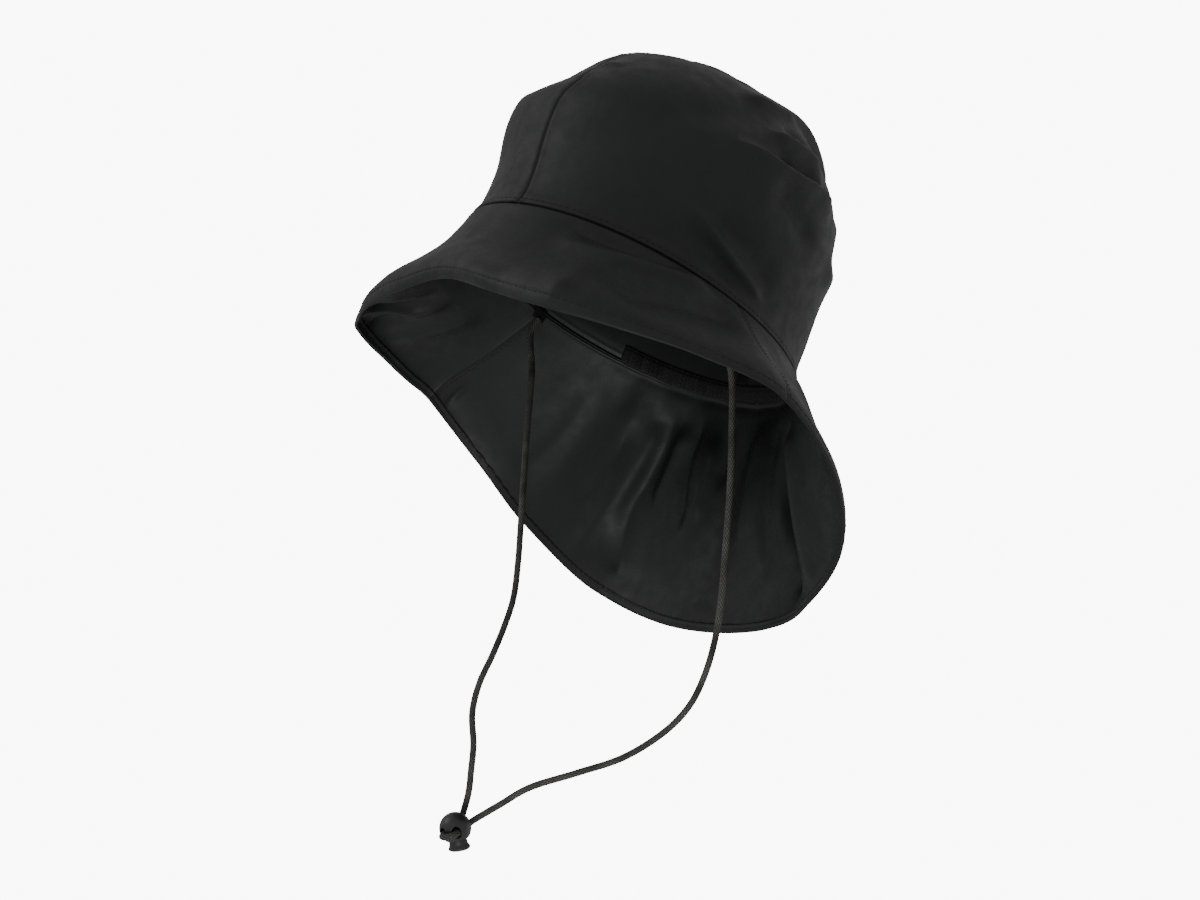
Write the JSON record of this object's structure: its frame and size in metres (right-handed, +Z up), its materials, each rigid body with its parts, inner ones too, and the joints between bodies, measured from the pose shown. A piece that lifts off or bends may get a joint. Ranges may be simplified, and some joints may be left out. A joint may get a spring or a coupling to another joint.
{
  "type": "rain hat",
  "caption": "Soft black rain hat with a rounded crown, a short front brim, a long neck flap, a gathered back and a chin cord with a ball toggle.",
  "frame": {"origin": "centre of the head opening, the oval where crown, brim and flap are sewn together, with the hat as it is worn on a head", "axes": "+Z up, the front brim toward -Y, the wearer's left toward +X; the crown is tipped back by 8.3 degrees about X, so that the toggle hangs straight below the origin"},
  "size_m": [0.3224, 0.2294, 0.4405],
  "materials": {
    "shell_cloth": "satin coated woven cloth, near black",
    "casing_tape": "matte woven tape, black",
    "cord_braid": "braided polyester cord, black",
    "toggle_plastic": "moulded plastic, satin black"
  },
  "bodies": {
    "hat": {"crown_left_panel": "shell_cloth", "crown_right_panel": "shell_cloth", "front_brim": "shell_cloth", "neck_flap": "shell_cloth", "back_casing_left": "casing_tape", "back_casing_right": "casing_tape", "back_patch": "casing_tape", "inner_label": "casing_tape", "cord_tab_left": "casing_tape", "cord_tab_right": "casing_tape", "chin_cord_left": "cord_braid", "chin_cord_right": "cord_braid", "cord_end_loop": "cord_braid", "toggle_body": "toggle_plastic"},
    "toggle_button": {"toggle_button": "toggle_plastic"}
  },
  "joints": [
    {"name": "toggle_press", "type": "slide", "parent": "hat", "child": "toggle_button", "axis": [-0.02, -0.5886, 0.8081], "range_m": [0, 0.002], "stiffness_N_per_m": 400, "springref_m": -0.001}
  ]
}
